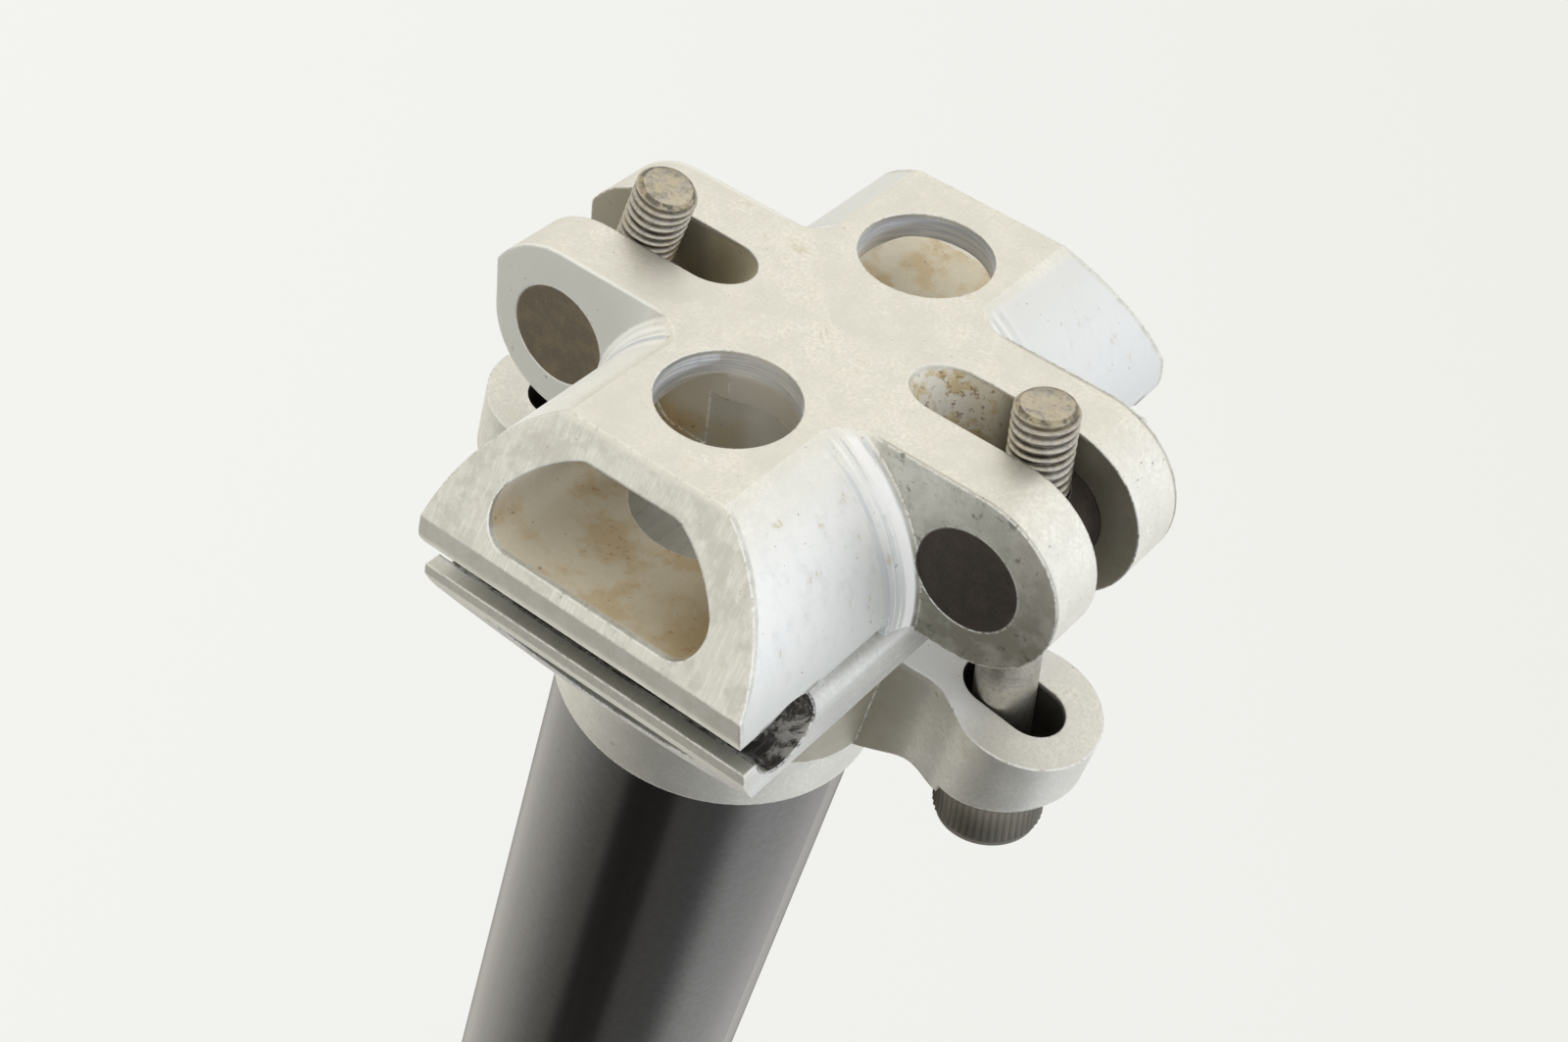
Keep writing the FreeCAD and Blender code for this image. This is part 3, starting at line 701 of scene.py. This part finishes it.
def thread_ring(along):
    def radius(angle):
        turns = along / PITCH - angle / (2 * math.pi)
        groove = (0.5 - 0.5 * math.cos(2 * math.pi * turns)) ** 1.2
        fade = min(1, max(0, (THREAD_LENGTH - along) / (RUN_OUT_TURNS * PITCH)))
        worn = 0.85 + 0.15 * math.sin(along * 2.3 + angle)
        tip = max(0, THREAD_DEPTH - along)
        return min(BOLT_R - tip, BOLT_R - THREAD_DEPTH * groove * fade * worn)
    return along, radius


def thread_rings():
    count = int(THREAD_LENGTH * RINGS_PER_TURN / PITCH) + 1
    return [thread_ring(i * PITCH / RINGS_PER_TURN) for i in range(count)]


print("thread:", round(THREAD_LENGTH / PITCH, 1), "turns in", len(thread_rings()), "rings")

# %% [markdown]
# ## The knurled head
#
# The head is a cylinder with a knurled side, a domed edge and a hexagon socket. Cutting the socket
# with a boolean would leave long thin faces, so it is a few more rings that turn back inwards:
# round on the face, and six-sided from just below it.

# %% Head rings
HEAD_R, HEAD_HEIGHT, HEAD_CHAMFER = 4.5, 5.0, 0.25
KNURLS, KNURL_DEPTH = 48, 0.2
SOCKET_ACROSS, SOCKET_DEPTH = 4.0, 2.6


def round_ring(along, radius):
    return along, lambda angle: radius


def knurl_ring(along):
    return along, lambda angle: HEAD_R - KNURL_DEPTH * (0.5 - 0.5 * math.cos(KNURLS * angle))


def socket_ring(along):
    def radius(angle):
        sector = (angle + math.pi / 6) % (math.pi / 3) - math.pi / 6
        return SOCKET_ACROSS / 2 / math.cos(sector)
    return along, radius


def head_rings(neck, end):
    """From the shank's end, over the knurled side and the domed edge, into the socket."""
    root = HEAD_R - KNURL_DEPTH
    seat = [round_ring(neck, BOLT_R), round_ring(neck, HEAD_R - HEAD_CHAMFER)]
    side = [round_ring(neck + HEAD_CHAMFER, root), knurl_ring(neck + 0.45),
            knurl_ring(end - 1.35), round_ring(end - 1.1, root)]
    dome = [round_ring(end - 0.6, HEAD_R - 0.32), round_ring(end - 0.25, HEAD_R - 0.65),
            round_ring(end, HEAD_R - 1.2)]
    socket = [round_ring(end, SOCKET_ACROSS * 0.62), socket_ring(end - 0.25),
              socket_ring(end - SOCKET_DEPTH)]
    return seat + side + dome + socket


print("head:", 2 * HEAD_R, "mm across, socket", SOCKET_ACROSS, "mm across flats")

# %% [markdown]
# ## The bolts in place
#
# On the real post each bolt leans to meet its nut and runs from below the ear to above the lug.
# Its place could be typed in again, but it is read from the joint and from the plain solid that it
# replaces, so the two can't drift apart.

# %% Turn the bolts
SIDES = ("front", "rear")


def bolt_line(side):
    """Centre of the nut, direction to the head, and how far the tip and the end are from there."""
    turn = next(j for j in frame["joints"] if j["name"] == side + "_bolt_turn")
    centre, axis = Vector(turn["pos_m"]) / MM, Vector(turn["axis"]).normalized()
    along = [(v.co / MM - centre).dot(axis) for v in solids["bolt_" + side].data.vertices]
    return centre, axis, min(along), max(along)


def bolt(side):
    centre, axis, tip, end = bolt_line(side)
    length = end - tip
    rings = thread_rings() + head_rings(length - HEAD_HEIGHT, length)
    made = lathe("turned_bolt_" + side, rings, centre + axis * tip, axis)
    bpy.context.scene.collection.objects.link(made)
    shade(made, 50)
    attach(made, side + "_bolt")
    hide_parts("bolt_" + side)
    print(made.name, "length", round(length, 2), "mm,", len(made.data.polygons), "faces")
    return made


bolts = {side: bolt(side) for side in SIDES}

# %% [markdown]
# ## Marks of the bolts
#
# The bolts are grey, with black dirt and painted shade in the thread's roots, tan dirt on the open
# end and a head that has gone dark. The roots could be darkened by ambient occlusion, which is slow
# and can't be told where to stop. The distance from the bolt's own line finds them at once: what
# lies deeper than the crests is root.

# %% Bolt marks
SMEAR_TAN, SMEAR_DARK, ROOT_DIRT_AND_SHADE = (0.62, 0.56, 0.44), (0.24, 0.22, 0.19), (0.085, 0.075, 0.06)
TIP_TAN, TIP_DARK = (0.64, 0.56, 0.40), (0.26, 0.23, 0.17)
SHANK_GREY, HEAD_BROWN, HEAD_RIM = (0.31, 0.30, 0.28), (0.20, 0.185, 0.155), (0.07, 0.065, 0.055)
ROOT_LIGHT_R, ROOT_DARK_R = 2.44, 2.20    # the thread darkens from the crest to the root
ROOT_DARK_END = 7.0                            # how far below the nut the thread's dark roots end


def bolt_marks(f, at, colour, rough, side):
    centre, axis, tip, _ = bolt_line(side)
    away = f.vector("SUBTRACT", at, centre - PIVOT)
    reach = f.vector("LENGTH", f.vector("CROSS_PRODUCT", away, axis), out="Value")
    along = f.vector("DOT_PRODUCT", away, axis, "Value")
    spots = f.noise(at, 1.1, detail=4, rough=0.65)
    smear = f.noise(at, 2.4, detail=4, rough=0.7)
    colour = f.mix(smear.step(0.46, 0.62) * 0.5, colour, SMEAR_TAN)
    colour = f.mix(smear.step(0.48, 0.36) * 0.5, colour, SMEAR_DARK)
    # dirt and painted shade in the thread roots
    root = (reach.step(ROOT_LIGHT_R, ROOT_DARK_R) * reach.step(1.9, 2.0)
            * along.step(ROOT_DARK_END + 2, ROOT_DARK_END))
    colour = f.mix(root * (0.45 + spots), colour, ROOT_DIRT_AND_SHADE)
    open_end = along.step(tip + 0.9, tip + 0.3)
    colour = f.mix(open_end * spots.step(0.40, 0.60) * 0.6, colour, TIP_TAN)
    colour = f.mix(open_end * spots.step(0.42, 0.33) * 0.5, colour, TIP_DARK)
    bands = f.noise(along * 1.3, 1.0).step(0.5, 0.62)
    colour = f.mix(along.step(5.5, 8.0) * (0.35 + bands * 0.35), colour, SHANK_GREY)
    on_head = reach.step(2.9, 3.2)
    colour = f.mix(on_head * 0.85, colour, HEAD_BROWN)
    colour = f.mix(reach.between(4.2, 4.38, 0.04) * 0.35, colour, HEAD_RIM)
    return colour, rough + on_head * 0.12


print("thread roots are dark within", ROOT_LIGHT_R, "mm of the bolt's line")

# %% [markdown]
# ## Steel
#
# Bolts, nuts and washers are steel that has lost its shine: a tone with fine grain, cloudy dirt
# and bright edges. The rear nut is nearly black-brown and the front one dusty. Each could have a
# material of its own from scratch, but one cell with a tone and an amount of dirt makes them all.

# %% Steel finish
CLOUD_DIRT, STEEL_EDGE, STEEL_EDGE_R = (0.40, 0.31, 0.19), (0.80, 0.78, 0.74), 0.1


def worn_steel(name, tone, roughness, dirt, side=None):
    material, f = new_finish(name)
    at = in_mm(f)
    rounded, edge = edge_mask(f, STEEL_EDGE_R)
    cloud = f.noise(at, 0.6, detail=4, rough=0.65)
    grain = f.noise(at, 5.0, rough=0.7)
    colour = f.mix(grain.step(0.40, 0.68), [c * 0.80 for c in tone], tone)
    colour = f.mix(cloud.step(0.42, 0.66) * dirt, colour, CLOUD_DIRT)
    rough = roughness + cloud * 0.12
    if side:
        colour, rough = bolt_marks(f, at, colour, rough, side)
    colour = f.mix(edge * 0.5, colour, STEEL_EDGE)
    principled(f, colour, 1.0, rough, f.bump(0.25, 0.04, grain, rounded))
    return material


for side in SIDES:
    steel = worn_steel("bolt_steel_" + side, tone=(0.54, 0.52, 0.475), roughness=0.30, dirt=0.30,
                       side=side)
    bolts[side].data.materials.append(steel)
    dress(steel, "bolt_" + side)
dress(worn_steel("nut_steel", tone=(0.085, 0.072, 0.063), roughness=0.55, dirt=0.05),
      "barrel_nut_rear")
dress(worn_steel("nut_steel_dusty", tone=(0.24, 0.21, 0.16), roughness=0.55, dirt=0.30),
      "barrel_nut_front")
dress(worn_steel("washer_steel", tone=(0.34, 0.31, 0.27), roughness=0.5, dirt=0.4),
      "washer_front", "washer_rear")

# %% [markdown]
# ## The black anodised tube
#
# Polished black anodising mirrors the room in soft bands. Black paint with a clear coat would show
# them too faintly, so the tube is nearly a dark metal, with the fine lines of the drawn tube in
# its roughness.

# %% Tube finish
BLACK_DEEP, BLACK_PALE = (0.165, 0.160, 0.155), (0.190, 0.188, 0.185)


def black_anodised():
    material, f = new_finish("black_anodised")
    at = in_mm(f)
    fine = f.noise(at, 1.6, detail=4, rough=0.7)
    drawn = f.noise(f.mapped(at, (0.9, 0.9, 0.03)), 1.0, detail=2)
    colour = f.mix(fine.step(0.3, 0.7), BLACK_DEEP, BLACK_PALE)
    principled(f, colour, 1.0, drawn * 0.06 + 0.17, f.bump(0.1, 0.02, fine))
    return material


dress(black_anodised(), "post_tube")

# %% [markdown]
# ## Light
#
# A bright room lights the metal from all round. Lamps would put hard spots on the polished tube,
# and a picture of a room isn't at hand, so the room is drawn from two angles: the bearing round
# the post and the height. Low down on the left side of the bicycle, where the camera stands, there
# is one black object with grey on either side of it, and that is the black band on the tube.

# %% The room
WARM_LIGHT, COOL_LIGHT, BACKDROP = (1.0, 0.97, 0.90), (0.985, 1.0, 1.025), (0.885, 0.886, 0.862)
BLACK_OBJECT = 0.05


def low_light(bearing):
    """How bright the lower part of the room is, by the bearing in degrees from the rear."""
    grey_behind, light_behind = bearing.step(-65, -60) * 0.16, bearing.step(-27, 5) * 0.66
    grey_ahead, light_ahead = bearing.step(-101, -106) * 0.22, bearing.step(-106, -170) * 0.58
    far_shade = bearing.between(88, 140, 14) * 0.6
    round_it = grey_behind + light_behind + grey_ahead + light_ahead
    return (BLACK_OBJECT + round_it) * (1 - far_shade)


def make_world():
    world = bpy.data.worlds.new("studio")
    bpy.context.scene.world = world
    world.use_nodes = True
    w = Finish(world.node_tree)
    x, y, z = w.split(w.node("ShaderNodeTexCoord", out="Generated"))
    bearing = w.node("ShaderNodeMath", {"operation": "ARCTAN2"}, {0: y, 1: x}) * math.degrees(1)
    low = low_light(bearing)
    cool = x.step(-0.2, 0.8)
    up, down = z.step(-0.58, -0.10), z.step(-0.90, -0.98)
    level = low + up * (0.94 + cool * 0.16 - low) + down * 0.5
    light = w.mix(cool, WARM_LIGHT, COOL_LIGHT)
    room = w.node("ShaderNodeBackground", None, {"Color": light, "Strength": level})
    backdrop = w.node("ShaderNodeBackground", None, {"Color": BACKDROP})
    seen = w.node("ShaderNodeLightPath", out="Is Camera Ray")
    w.end(w.node("ShaderNodeMixShader", None, {0: seen, 1: room, 2: backdrop}),
          "ShaderNodeOutputWorld")
    return world


bpy.context.scene.view_settings.view_transform = "Standard"
print("room:", make_world().name, "with", len(bpy.context.scene.world.node_tree.nodes), "nodes")

# %% [markdown]
# ## Camera
#
# The camera looks down on the head from the rear left of the bicycle. Its place could be found by
# eye, turn by turn. It was worked out instead from the ellipses of the holes and the known
# diameters, and so its axes are given in full.

# %% Camera
CAMERA_AT = Vector((0.0580, -0.1211, 0.4841))
CAMERA_RIGHT = Vector((0.7595, 0.6115, 0.2220))
CAMERA_UP = Vector((-0.5814, 0.4850, 0.6532))
CAMERA_BACK = Vector((0.2917, -0.6252, 0.7239))

lens = bpy.data.cameras.new("camera")
lens.sensor_width = 36
lens.lens = 55.29
lens.clip_start, lens.clip_end = 0.01, 100
camera = bpy.data.objects.new("camera", lens)
bpy.context.scene.collection.objects.link(camera)
facing = Matrix((CAMERA_RIGHT, CAMERA_UP, CAMERA_BACK)).transposed()
camera.matrix_world = Matrix.Translation(CAMERA_AT) @ facing.to_4x4()
bpy.context.scene.camera = camera
print("camera:", round((CAMERA_AT - PIVOT * MM).length, 3), "m from the tilt axis")

# %% [markdown]
# ## Floor
#
# The post is seen against a plain pale ground. A bare backdrop would do for the colour, but a sheet
# of paper below keeps the post's faint shadow. To the camera most of its brightness is its own, so
# the shadow stays light. The metal doesn't mirror it: its reflections come from the room alone.

# %% Floor
FLOOR_SIZE, FLOOR_Z = 60, -0.06
PAPER_LEFT, PAPER_RIGHT = (0.912, 0.912, 0.893), (0.862, 0.866, 0.832)
PAPER_WAY = (0.76, 0.61)                  # on the paper, the way that is right in the picture
PAPER_START, PAPER_WIDTH = -0.25, 0.7
OWN_LIGHT = 0.75


def paper():
    material, p = new_finish("paper")
    x, y, _ = p.split(p.node("ShaderNodeTexCoord", out="Object"))
    across = (x * PAPER_WAY[0] + y * PAPER_WAY[1] - PAPER_START) / PAPER_WIDTH
    tone = p.mix(across.clamped(), PAPER_LEFT, PAPER_RIGHT)
    plain = p.node("ShaderNodeBsdfDiffuse", None, {"Color": tone})
    glow = p.node("ShaderNodeEmission", None, {"Color": tone})
    seen = p.node("ShaderNodeLightPath", out="Is Camera Ray")
    p.end(p.node("ShaderNodeMixShader", None, {0: seen * OWN_LIGHT, 1: plain, 2: glow}))
    return material


bpy.ops.mesh.primitive_plane_add(size=FLOOR_SIZE, location=(0, 0, FLOOR_Z))
floor = bpy.context.object
floor.name = "floor"
floor.data.materials.append(paper())
floor.visible_glossy = False
print("floor:", FLOOR_SIZE, "m wide,", -FLOOR_Z, "m below the tube")

# %% [markdown]
